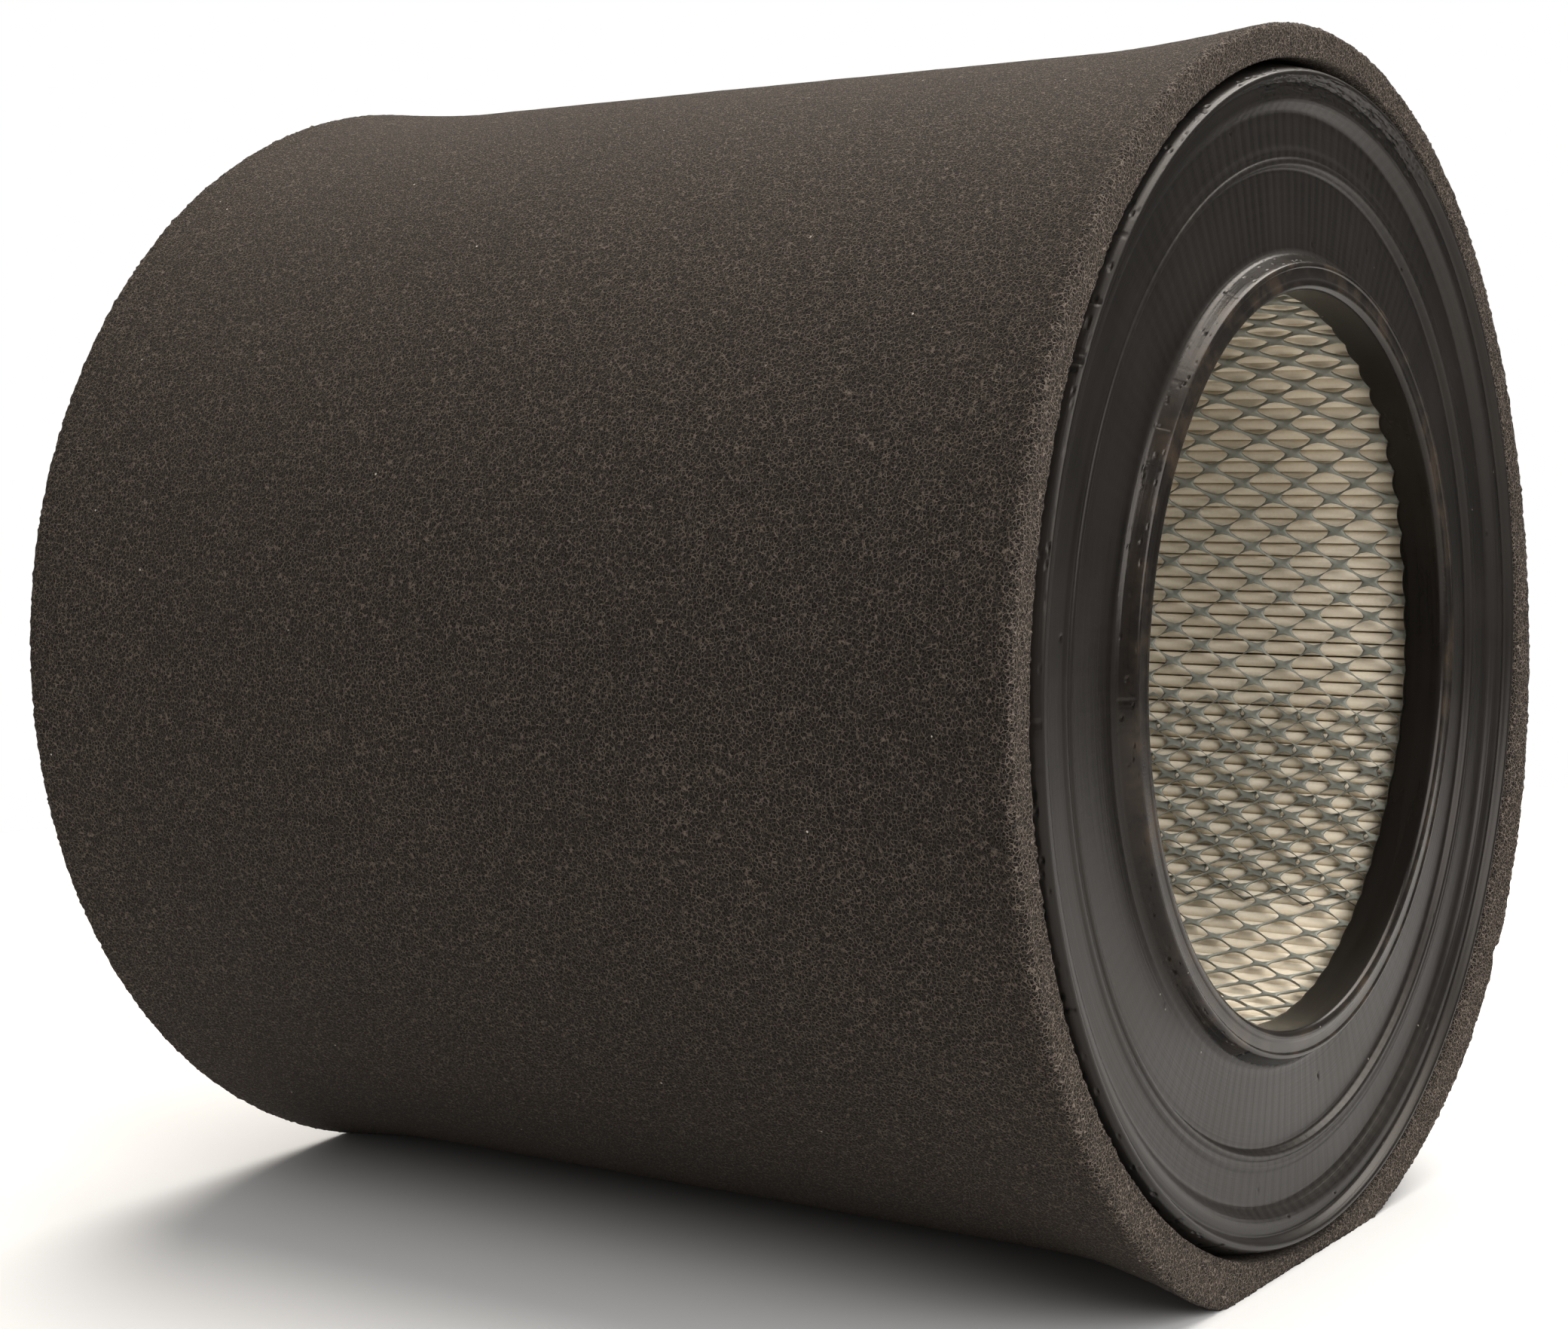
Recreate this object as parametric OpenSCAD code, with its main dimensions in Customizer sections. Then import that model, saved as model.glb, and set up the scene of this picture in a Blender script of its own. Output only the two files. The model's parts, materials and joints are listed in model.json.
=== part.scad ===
// Cylindrical air filter element with a foam pre-cleaner sleeve, lying on its side.
// The axis is X. The outlet faces +X, and +Z is up. The origin is the centre of the
// outlet bore's mouth, where the straight bore wall ends. All sizes are millimetres.

/* [Element] */
// Length from the outlet cap's rim to the closed cap's rim
element_l = 194; // [150:1:260]
// Diameter of the outlet bore
bore_d = 120; // [112:0.5:122]
// Diameter of the sharp crest on each cap's rim
rim_d = 188.6; // [188:0.1:189.2]
// Outer diameter of each cap's skirt
cap_d = 192.8; // [192.6:0.1:193.4]
// Length of each cap, from the rim's crest to the end of the skirt
cap_l = 14.8; // [13:0.1:20]

/* [Cap face] */
// Height of the rim's crest above the mouth of the bore
rim_h = 1.8; // [1.2:0.1:2.4]
// Height of the sealing lip above the mouth of the bore
lip_h = 0.9; // [0.6:0.1:1.1]
// Radius of the sealing lip's outer edge
lip_r = 64.2; // [63.8:0.1:65]
// Radius of the neck where it meets the inner annulus
neck_r = 66.1; // [66:0.1:67]
// Radius of the step between the inner and the outer annulus
step_r = 80.4; // [76:0.1:84]
// Depth of the inner annulus below the mouth of the bore
inner_annulus_x = 2.4; // [2:0.1:2.8]
// Depth of the outer annulus below the mouth of the bore
outer_annulus_x = 1.6; // [1.2:0.1:1.9]

/* [Closed end] */
// Thickness of the urethane skin over the closed end's plate
closed_skin = 3; // [2.5:0.1:3.4]
// Thickness of the steel plate that closes the core
plate_t = 0.8; // [0.5:0.1:1.2]
// Number of moulded stand-off pads on the closed end
pad_count = 4; // [3:1:8]
// Diameter of each stand-off pad
pad_d = 8; // [6:0.5:8]
// Height of each stand-off pad above the outer annulus
pad_h = 5; // [4:0.5:8]

/* [Liners] */
// Thickness that the expanded steel takes up
liner_t = 0.8; // [0.6:0.1:0.8]
// Angle of the lap where the inner liner's ends overlap
lap_angle = 33; // [10:1:40]
// Position of the middle of the inner liner's lap round the axis, from +Y towards +Z
lap_at = -33; // [-90:1:90]

/* [Paper] */
// Number of pleats
pleat_count = 168; // [60:1:180]
// Thickness of the paper
paper_t = 0.6; // [0.4:0.1:0.7]
// Number of hot-melt bead rings round the pleats
bead_count = 2; // [1:1:4]
// Width of one bead ring
bead_w = 3; // [2:0.5:5]

/* [Foam sleeve] */
// Length of the sleeve
sleeve_l = 192; // [150:1:194]
// Outer radius of the sleeve over the caps
sleeve_end_r = 102.2; // [101:0.1:104]
// Outer radius of the sleeve between the caps
sleeve_mid_r = 100; // [99.5:0.1:101]
// Clearance between the sleeve and a cap's skirt
sleeve_gap = 0.3; // [0.3:0.1:0.5]
// Height of the axis above the surface that the sleeve rests on
rest_h = 98.6; // [98.5:0.1:99.4]
// Width of the glued joint in the sleeve
glue_w = 0.6; // [0.4:0.1:1]
// Position of the glued joint round the axis, from +Y towards +Z
glue_at = 40; // [0:1:80]

/* [Hidden] */
$fn = 96;

// Small distances that keep bonded neighbours apart, and let cutting shapes overrun
gap = 0.1;
over = 1;

// Radii, from the bore outwards
bore_r = bore_d / 2;
rim_r = rim_d / 2;
skirt_r = cap_d / 2;
bore_wall_t = 1;
skirt_t = 2.4;
inner_liner_r = bore_r + bore_wall_t + gap;
lap_r = inner_liner_r + liner_t;
pleat_in_r = lap_r + liner_t + 2 * gap;
potting_out_r = skirt_r - skirt_t;
outer_liner_r = potting_out_r - gap - liner_t;
bead_t = 0.7;
pleat_out_r = outer_liner_r - bead_t - 2 * gap;
sleeve_in_r = skirt_r + sleeve_gap;

// Places along the axis
mid_x = rim_h - element_l / 2;
bore_l = 6.8;
potting_x = -5.4;
skirt_x = rim_h - cap_l;
inner_l = 2 * (potting_x - mid_x) - 2 * gap;
plate_x = 2 * mid_x + outer_annulus_x + closed_skin;

// Puts shapes drawn round Z round X instead
module along_x() {
  rotate([0, 90, 0]) children();
}

// A plain tube round X whose middle is at mid_x
module tube(r_in, r_out, l) {
  translate([mid_x, 0, 0])
    along_x()
      difference() {
        cylinder(r = r_out, h = l, center = true);
        cylinder(r = r_in, h = l + 2 * over, center = true);
      }
}

// Puts shapes made for the outlet end at the closed end
module at_closed_end() {
  translate([2 * mid_x, 0, 0]) mirror([1, 0, 0]) children();
}

// Outline of the cap's face and skirt, from the neck outwards, as [radius, x]: the inner
// annulus, a step, the outer annulus, a cove with a ledge, the rim's crest and the skirt
function rim_outline() = [
  [neck_r + 0.6, -inner_annulus_x],
  [step_r - 0.9, -inner_annulus_x],
  [step_r, -outer_annulus_x + 0.25],
  [step_r + 0.9, -outer_annulus_x + 0.25],
  [step_r + 1.6, -outer_annulus_x],
  [rim_r - 6.3, -outer_annulus_x],
  [rim_r - 4.3, -0.1],
  [rim_r - 2.8, 0.4],
  [rim_r - 1.6, 0.3],
  [rim_r - 1.2, 0.5],
  [rim_r - 0.3, rim_h],
  [rim_r + 0.3, rim_h],
  [skirt_r - 0.5, rim_h - 2],
  [skirt_r, rim_h - 4],
  [skirt_r, skirt_x],
  [potting_out_r, skirt_x],
  [potting_out_r, potting_x]
];

// Outline of the neck with its bore and its sealing lip, from inside outwards
function neck_outline() = [
  [bore_r + bore_wall_t, potting_x],
  [bore_r + bore_wall_t, -bore_l],
  [bore_r, -bore_l],
  [bore_r, 0],
  [bore_r + 0.3, lip_h - 0.3],
  [bore_r + 1, lip_h],
  [lip_r - 0.8, lip_h],
  [lip_r - 0.6, lip_h - 0.25],
  [lip_r - 0.4, lip_h],
  [lip_r, lip_h],
  [lip_r + 0.9, lip_h - 0.9],
  [neck_r - 0.3, -inner_annulus_x + 0.6]
];

module outlet_end_cap() {
  color("dimgray")
    along_x()
      rotate_extrude()
        polygon(concat(neck_outline(), rim_outline()));
}

module closed_end_cap() {
  disc_outline = [
    [0, potting_x],
    [0, -outer_annulus_x],
    [bore_r, -outer_annulus_x],
    [bore_r + 0.8, -inner_annulus_x]
  ];
  recess_h = -outer_annulus_x - closed_skin - potting_x;
  color("dimgray")
    at_closed_end()
      difference() {
        union() {
          along_x() rotate_extrude() polygon(concat(disc_outline, rim_outline()));
          stand_off_pads();
        }
        translate([potting_x - over, 0, 0])
          along_x() cylinder(r = inner_liner_r - 2 * gap, h = recess_h + over);
      }
}

// Round pads on the outer annulus
module stand_off_pads() {
  pad_pcr = (step_r + rim_r) / 2 - 1.5;
  pad_r = pad_d / 2;
  for (i = [0 : pad_count - 1])
    rotate([45 + i * 360 / pad_count, 0, 0])
      translate([-outer_annulus_x - 0.5, pad_pcr, 0])
        along_x() cylinder(r1 = pad_r, r2 = pad_r - 1, h = pad_h + 0.5);
}

// A flat steel disc with a turned edge, bonded into the closed cap
module closed_end_plate() {
  plate_r = inner_liner_r - 3 * gap;
  flange_h = 4;
  color("silver")
    translate([plate_x, 0, 0])
      along_x()
        difference() {
          cylinder(r = plate_r, h = flange_h);
          translate([0, 0, plate_t]) cylinder(r = plate_r - plate_t, h = flange_h);
        }
}

// Expanded steel rolled into a tube. The wall is as thick as the twisted strands stand.
module inner_liner() {
  color("silver") {
    tube(inner_liner_r, lap_r, inner_l);
    inner_liner_lap();
  }
}

// The second layer of the inner liner, where its two ends overlap and are spot-welded
module inner_liner_lap() {
  translate([mid_x - inner_l / 2, 0, 0])
    rotate([lap_at - lap_angle / 2, 0, 0])
      rotate([90, 0, 90])
        rotate_extrude(angle = lap_angle)
          translate([lap_r + gap / 2, 0])
            square([liner_t, inner_l]);
}

module outer_liner() {
  color("gray") tube(outer_liner_r, outer_liner_r + liner_t, inner_l);
}

// A point of the paper's outline, in the plane across the axis
function polar(r, a) = [r * cos(a), r * sin(a)];

// Both sides of the paper strip, as one closed outline. The strip zigzags once round, from
// the inner fold on one side of the seam clip to the inner fold on its other side. The
// angles are half of what a fold covers outside, and half of what its crease covers.
function paper_outline() =
  let (
    pitch = 360 / pleat_count,
    out_a = paper_t / pleat_out_r * 180 / PI,
    in_a = 0.9 * paper_t / pleat_in_r * 180 / PI,
    in_crease_a = 0.02,
    out_crease_a = 0.06,
    top = [
      for (i = [0 : pleat_count - 2])
        let (a = (i + 1) * pitch)
          each [
            polar(pleat_in_r + paper_t, a - pitch / 2 + in_crease_a),
            polar(pleat_out_r, a - out_a),
            polar(pleat_out_r, a + out_a),
            polar(pleat_in_r + paper_t, a + pitch / 2 - in_crease_a)
          ]
    ],
    bottom = [
      for (i = [pleat_count - 2 : -1 : 0])
        let (a = (i + 1) * pitch)
          each [
            polar(pleat_in_r, a + pitch / 2 - in_a),
            polar(pleat_out_r - paper_t, a + out_crease_a),
            polar(pleat_out_r - paper_t, a - out_crease_a),
            polar(pleat_in_r, a - pitch / 2 + in_a)
          ]
    ]
  )
  concat(top, bottom);

module pleated_media() {
  color("wheat")
    translate([mid_x - inner_l / 2, 0, 0])
      rotate([90, 0, 90])
        linear_extrude(inner_l)
          polygon(paper_outline());
}

// A folded steel strip over the two ends of the paper
module media_seam_clip() {
  clip_h = 10;
  clip_w = 1.4;
  color("silver")
    translate([mid_x, pleat_out_r - clip_h / 2 - gap, 0])
      cube([inner_l, clip_h, clip_w], center = true);
}

module pleat_beads() {
  color("ivory")
    for (i = [1 : bead_count])
      translate([-inner_l / 2 + i * inner_l / (bead_count + 1), 0, 0])
        tube(pleat_out_r + gap, pleat_out_r + gap + bead_t, bead_w);
}

// Outline of the foam's wall from the middle of the sleeve to one end, as [radius, x]
function foam_outline() =
  let (h = sleeve_l / 2, crown = sleeve_end_r - sleeve_mid_r)
  [
    [sleeve_in_r, -h],
    [sleeve_in_r, h],
    [sleeve_end_r - 1.6, h],
    [sleeve_end_r - 0.5, h - 0.5],
    [sleeve_end_r, h - 1.8],
    [sleeve_mid_r + crown * 0.5, h - 11],
    [sleeve_mid_r + crown * 0.15, h - 19],
    [sleeve_mid_r, h - 28],
    [sleeve_mid_r, 28 - h],
    [sleeve_mid_r + crown * 0.15, 19 - h],
    [sleeve_mid_r + crown * 0.5, 11 - h],
    [sleeve_end_r, 1.8 - h],
    [sleeve_end_r - 0.5, 0.5 - h],
    [sleeve_end_r - 1.6, -h]
  ];

// The foam's whole ring, flat underneath where the element's weight presses on it
module foam_ring() {
  difference() {
    translate([mid_x, 0, 0]) along_x() rotate_extrude() polygon(foam_outline());
    translate([mid_x, 0, -rest_h - sleeve_end_r / 2])
      cube([sleeve_l + 2 * over, 3 * sleeve_end_r, sleeve_end_r], center = true);
  }
}

// The narrow gap between the ends of the foam sheet
module glue_slot() {
  rotate([glue_at, 0, 0])
    translate([mid_x, (sleeve_in_r + sleeve_end_r) / 2, 0])
      cube([sleeve_l + 2 * over, sleeve_end_r - sleeve_in_r + 2 * over, glue_w], center = true);
}

module foam_sleeve() {
  color("#3d3833")
    difference() {
      foam_ring();
      glue_slot();
    }
}

module sleeve_joint() {
  color("#26221e")
    intersection() {
      foam_ring();
      glue_slot();
    }
}

outlet_end_cap();
closed_end_cap();
closed_end_plate();
inner_liner();
outer_liner();
pleated_media();
media_seam_clip();
pleat_beads();
foam_sleeve();
sleeve_joint();
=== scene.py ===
"""Looks for a cylindrical air filter element with a foam pre-cleaner sleeve.

The axis of the element is X, the outlet faces +X, and +Z is up. Lengths are metres.
Angles round the axis run from +Y towards +Z.
"""
import json
import math

import bmesh
import bpy
import numpy as np
from mathutils import Matrix, Vector


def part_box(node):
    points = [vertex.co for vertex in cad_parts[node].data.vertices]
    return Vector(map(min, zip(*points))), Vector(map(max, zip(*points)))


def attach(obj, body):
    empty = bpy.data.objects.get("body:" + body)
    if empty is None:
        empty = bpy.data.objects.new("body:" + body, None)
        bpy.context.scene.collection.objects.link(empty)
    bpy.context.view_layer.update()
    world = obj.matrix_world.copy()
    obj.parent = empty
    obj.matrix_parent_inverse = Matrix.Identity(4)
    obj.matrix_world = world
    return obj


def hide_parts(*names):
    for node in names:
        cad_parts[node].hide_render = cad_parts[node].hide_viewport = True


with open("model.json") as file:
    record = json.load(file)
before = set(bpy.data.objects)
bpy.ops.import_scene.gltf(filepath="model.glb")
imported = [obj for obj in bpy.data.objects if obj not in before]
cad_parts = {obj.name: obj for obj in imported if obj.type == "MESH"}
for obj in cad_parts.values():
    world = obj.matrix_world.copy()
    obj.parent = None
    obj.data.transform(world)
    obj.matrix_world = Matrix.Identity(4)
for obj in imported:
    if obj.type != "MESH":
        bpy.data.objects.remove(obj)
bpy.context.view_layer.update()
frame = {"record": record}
MM = 0.001
rng = np.random.default_rng(7)

# ---------------------------------------------------------------- sizes from the frame


def axial_span(node):
    low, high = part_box(node)
    return low.x, high.x


def outer_radius(node):
    low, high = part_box(node)
    return (high.y - low.y) / 2


BORE_R = frame["record"]["mounts"][0]["dims"]["r_mm"] * MM
SLEEVE_X0, SLEEVE_X1 = axial_span("foam_sleeve")
MID_X = (SLEEVE_X0 + SLEEVE_X1) / 2
SKIRT_R = outer_radius("outlet_end_cap")
RIM_R = SKIRT_R - 2.1 * MM  # the crest of the cap's rim
LINER_X0, LINER_X1 = axial_span("outer_liner")
OUTER_LINER_R = outer_radius("outer_liner") - 0.8 * MM  # inside of the steel, as is the next
INNER_LINER_R = BORE_R + 1.1 * MM
SLEEVE_R = outer_radius("foam_sleeve")
SLEEVE_IN_R = SKIRT_R + 0.3 * MM
REST_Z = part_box("foam_sleeve")[0].z
PLEAT_OUT_R = outer_radius("pleated_media")
PLEAT_IN_R = INNER_LINER_R + 1.8 * MM
PLEATS = 168

# ---------------------------------------------------------------- mesh helpers

NO_AREA = 1e-11  # square metres


def mesh_object(name, verts, faces, smooth=True):
    """An object made from an (n, 3) array of points and an (m, 4) array of faces. Points that
    coincide to 0.0001 mm are joined, faces with no area go, and the rest are turned outwards."""
    verts, index = np.unique(np.round(np.asarray(verts, float), 7), axis=0, return_inverse=True)
    faces = index.ravel()[np.asarray(faces)]
    corner = verts[faces]
    diagonals = corner[:, 2] - corner[:, 0], corner[:, 3] - corner[:, 1]
    area = np.linalg.norm(np.cross(*diagonals), axis=1)
    faces = faces[area > NO_AREA].astype(np.int32)
    sides = faces.shape[1]
    mesh = bpy.data.meshes.new(name)
    mesh.vertices.add(len(verts))
    mesh.vertices.foreach_set("co", verts.ravel())
    mesh.loops.add(faces.size)
    mesh.loops.foreach_set("vertex_index", faces.ravel())
    mesh.polygons.add(len(faces))
    mesh.polygons.foreach_set("loop_start", np.arange(len(faces), dtype=np.int32) * sides)
    mesh.update(calc_edges=True)
    mesh.validate()
    work = bmesh.new()
    work.from_mesh(mesh)
    bmesh.ops.delete(work, geom=[v for v in work.verts if not v.link_faces], context="VERTS")
    bmesh.ops.recalc_face_normals(work, faces=work.faces)
    work.to_mesh(mesh)
    work.free()
    mesh.polygons.foreach_set("use_smooth", np.full(len(mesh.polygons), smooth))
    obj = bpy.data.objects.new(name, mesh)
    bpy.context.scene.collection.objects.link(obj)
    return obj


def grid_faces(nu, nv, wrap_u=True, wrap_v=True):
    """Quads of a grid of nu by nv points, stored row by row."""
    u = np.arange(nu if wrap_u else nu - 1)
    v = np.arange(nv if wrap_v else nv - 1)
    uu, vv = np.meshgrid(u, v, indexing="ij")
    a = uu * nv + vv
    b = ((uu + 1) % nu) * nv + vv
    c = ((uu + 1) % nu) * nv + (vv + 1) % nv
    d = uu * nv + (vv + 1) % nv
    return np.stack([a, b, c, d], -1).reshape(-1, 4)


def joined(parts):
    """One pair of points and faces from several."""
    starts = np.cumsum([0] + [len(verts) for verts, _ in parts[:-1]])
    return (np.vstack([verts for verts, _ in parts]),
            np.vstack([faces + start for (_, faces), start in zip(parts, starts)]))


def round_axis(x, r, phi):
    """Points at distance r from the X axis, at the angle phi."""
    return np.stack([x, r * np.cos(phi), r * np.sin(phi)], -1)


def smooth_line(points, step):
    """A polyline of [r, x] points with its corners rounded, and no stretch longer than step.
    Each corner is cut off at a fifth of the way along its sides, twice."""
    pts = np.asarray(points, float)
    for _ in range(2):
        a, b = pts[:-1], pts[1:]
        cut = np.stack([a * 0.8 + b * 0.2, a * 0.2 + b * 0.8], 1).reshape(-1, 2)
        pts = np.vstack([pts[:1], cut, pts[-1:]])
    line = [pts[:1]]
    for start, end in zip(pts[:-1], pts[1:]):
        pieces = max(1, math.ceil(np.linalg.norm(end - start) / step))
        line.append(start + (end - start) * np.linspace(0, 1, pieces + 1)[1:, None])
    return np.vstack(line)


def wave_noise(phi, s, seed, octaves=5, base=3):
    """Smooth noise about -1 to 1 over the angle phi and the length s, seamless round the axis:
    a few sine waves in each octave, with at most base * 2 ** k waves round the axis."""
    local = np.random.default_rng(seed)
    total = np.zeros(np.broadcast(phi, s).shape)
    waves = 4
    for k in range(octaves):
        for _ in range(waves):
            turns = local.integers(1, base * 2 ** k + 1)
            along = local.normal(0, 9 * 2 ** k)
            total = total + np.sin(turns * phi + along * s + local.uniform(0, 6.28)) / 1.7 ** k
    return total / waves


def ring_distance(phi, at):
    """Signed angle from at to phi, between -pi and pi."""
    return (phi - at + math.pi) % (2 * math.pi) - math.pi


# ---------------------------------------------------------------- material helpers


COLOUR_MIX_INPUTS, COLOUR_MIX_OUTPUT = (0, 6, 7), 2  # a Mix node's sockets when it mixes colours
RAMP_REACH = 0.1  # metres, the distance that place 1 of by_distance's ramp stands for


class Nodes:
    """Short calls for building a node material. Sockets take links, numbers or colours."""

    def __init__(self, name):
        self.material = bpy.data.materials.new(name)
        self.material.use_nodes = True
        self.tree = self.material.node_tree
        self.shader = self.tree.nodes["Principled BSDF"]
        self.position = self.make("ShaderNodeTexCoord").outputs["Object"]

    def make(self, kind, **values):
        node = self.tree.nodes.new(kind)
        for key, value in values.items():
            setattr(node, key, value)
        return node

    def link(self, source, target):
        if isinstance(source, (int, float)):
            target.default_value = source
        elif isinstance(source, tuple):
            target.default_value = (*source, 1) if len(source) == 3 else source
        else:
            self.tree.links.new(source, target)

    def set(self, **values):
        names = {"color": "Base Color", "rough": "Roughness", "metal": "Metallic",
                 "specular": "Specular IOR Level", "sheen": "Sheen Weight",
                 "sheen_rough": "Sheen Roughness", "sheen_tint": "Sheen Tint",
                 "normal": "Normal", "specular_tint": "Specular Tint",
                 "subsurface": "Subsurface Weight", "subsurface_scale": "Subsurface Scale"}
        for key, value in values.items():
            self.link(value, self.shader.inputs[names[key]])

    def math(self, operation, a, b=0.0, c=0.0):
        node = self.make("ShaderNodeMath", operation=operation)
        for socket, value in zip(node.inputs, (a, b, c)):
            self.link(value, socket)
        return node.outputs[0]

    def noise(self, scale, detail=3.0, rough=0.5, vector=None, distortion=0.0):
        node = self.make("ShaderNodeTexNoise")
        self.link(vector or self.position, node.inputs["Vector"])
        node.inputs["Scale"].default_value = scale
        node.inputs["Detail"].default_value = detail
        node.inputs["Roughness"].default_value = rough
        node.inputs["Distortion"].default_value = distortion
        return node.outputs["Fac"]

    def cells(self, scale, feature="F1", vector=None, output="Distance"):
        node = self.make("ShaderNodeTexVoronoi", feature=feature)
        self.link(vector or self.position, node.inputs["Vector"])
        node.inputs["Scale"].default_value = scale
        return node.outputs[output]

    def ramp(self, fac, stops):
        """Grey levels at places from 0 to 1 along fac."""
        node = self.make("ShaderNodeValToRGB")
        self.link(fac, node.inputs["Fac"])
        elements = node.color_ramp.elements
        while len(elements) < len(stops):
            elements.new(0.5)
        for element, (place, value) in zip(elements, stops):
            element.position = place
            element.color = (value, value, value, 1)
        return node.outputs["Color"]

    def mix(self, fac, a, b):
        node = self.make("ShaderNodeMix", data_type="RGBA")
        for source, at in zip((fac, a, b), COLOUR_MIX_INPUTS):
            self.link(source, node.inputs[at])
        return node.outputs[COLOUR_MIX_OUTPUT]

    def bump(self, height, strength, distance, normal=None):
        node = self.make("ShaderNodeBump")
        node.inputs["Strength"].default_value = strength
        node.inputs["Distance"].default_value = distance
        self.link(height, node.inputs["Height"])
        if normal is not None:
            self.link(normal, node.inputs["Normal"])
        return node.outputs["Normal"]

    def xyz(self):
        """The position's three numbers."""
        split = self.make("ShaderNodeSeparateXYZ")
        self.link(self.position, split.inputs[0])
        return split.outputs

    def round_axis(self):
        """The position's angle round the X axis and distance from it."""
        _, y, z = self.xyz()
        squares = self.math("ADD", self.math("MULTIPLY", y, y), self.math("MULTIPLY", z, z))
        return self.math("ARCTAN2", z, y), self.math("SQRT", squares)

    def axis_coordinates(self, turn_scale, radius_scale, x_scale):
        """A vector of (angle, radius, x) round the X axis, each times its scale."""
        join = self.make("ShaderNodeCombineXYZ")
        scales = (turn_scale, radius_scale, x_scale)
        for at, value in enumerate((*self.round_axis(), self.xyz()[0])):
            self.link(self.math("MULTIPLY", value, scales[at]), join.inputs[at])
        return join.outputs[0]

    def by_distance(self, distance, stops):
        """Grey levels at distances in millimetres, up to RAMP_REACH."""
        return self.ramp(self.math("MULTIPLY", distance, 1 / RAMP_REACH),
                         [(at * MM / RAMP_REACH, value) for at, value in stops])


def paint(obj, nodes):
    obj.data.materials.clear()
    obj.data.materials.append(nodes.material)


# ---------------------------------------------------------------- materials


def foam_material():
    """Charcoal open-cell foam: a web of pale strands over hollows filled with painted shade,
    with the deeper strands dimmed by painted shade and some near strands kept pale as painted
    light, paler at the cut end, with some slow changes of tone and a few specks of dust."""
    n = Nodes("open_cell_foam")
    jitter = n.make("ShaderNodeTexNoise")
    n.link(n.position, jitter.inputs["Vector"])
    jitter.inputs["Scale"].default_value = 1100
    bend = n.make("ShaderNodeVectorMath", operation="MULTIPLY_ADD")
    n.link(jitter.outputs["Color"], bend.inputs[0])
    bend.inputs[1].default_value = (0.0003, 0.0003, 0.0003)
    n.link(n.position, bend.inputs[2])
    bent = bend.outputs[0]
    near_web = n.ramp(n.cells(1500, "DISTANCE_TO_EDGE", bent),
                      [(0.0, 1.0), (0.04, 0.8), (0.115, 0.0)])
    deep_web = n.ramp(n.cells(2400, "DISTANCE_TO_EDGE", bent),
                      [(0.0, 1.0), (0.1, 0.5), (0.2, 0.0)])
    # Painted light and shade: lit picks the near strands that show pale, and the rest sink into the
    # painted shade of the hollows.
    lit = n.ramp(n.noise(1250, 3, 0.7), [(0.38, 0.06), (0.62, 1.0)])
    slow = n.ramp(n.noise(24, 2, 0.5), [(0.3, 0.0), (0.7, 1.0)])
    strand = n.mix(n.noise(900, 1, 0.5), (0.130, 0.098, 0.075), (0.096, 0.083, 0.072))
    strand = n.mix(slow, strand, (0.125, 0.100, 0.080))
    cut_end = n.make("ShaderNodeMapRange")
    n.link(n.xyz()[0], cut_end.inputs["Value"])
    cut_end.inputs["From Min"].default_value = SLEEVE_X1 - 2.5 * MM
    cut_end.inputs["From Max"].default_value = SLEEVE_X1 - 0.4 * MM
    strand = n.mix(n.math("MULTIPLY", cut_end.outputs[0], 0.4), strand, (0.29, 0.238, 0.197))
    # Painted shade: the hollows between the strands are near black, and the deeper strands show at
    # only 0.16 of the strand colour.
    body = n.mix(n.math("MULTIPLY", deep_web, 0.16), (0.0024, 0.0020, 0.0017), strand)
    web = n.math("MULTIPLY", near_web, lit)
    body = n.mix(web, body, strand)
    dust = n.math("MULTIPLY", n.ramp(n.cells(210), [(0.0, 1.0), (0.034, 0.8), (0.045, 0.0)]),
                  n.ramp(n.noise(58, 1, 0.5), [(0.58, 0.0), (0.62, 1.0)]))
    n.set(color=n.mix(dust, body, (0.5, 0.45, 0.38)), rough=0.95, specular=0.12,
          sheen=0.05, sheen_rough=0.5, sheen_tint=(1.0, 0.82, 0.66))
    height = n.math("ADD", web, n.math("MULTIPLY", deep_web, 0.4))
    n.set(normal=n.bump(height, 0.7, 0.0003))
    return n


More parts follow.
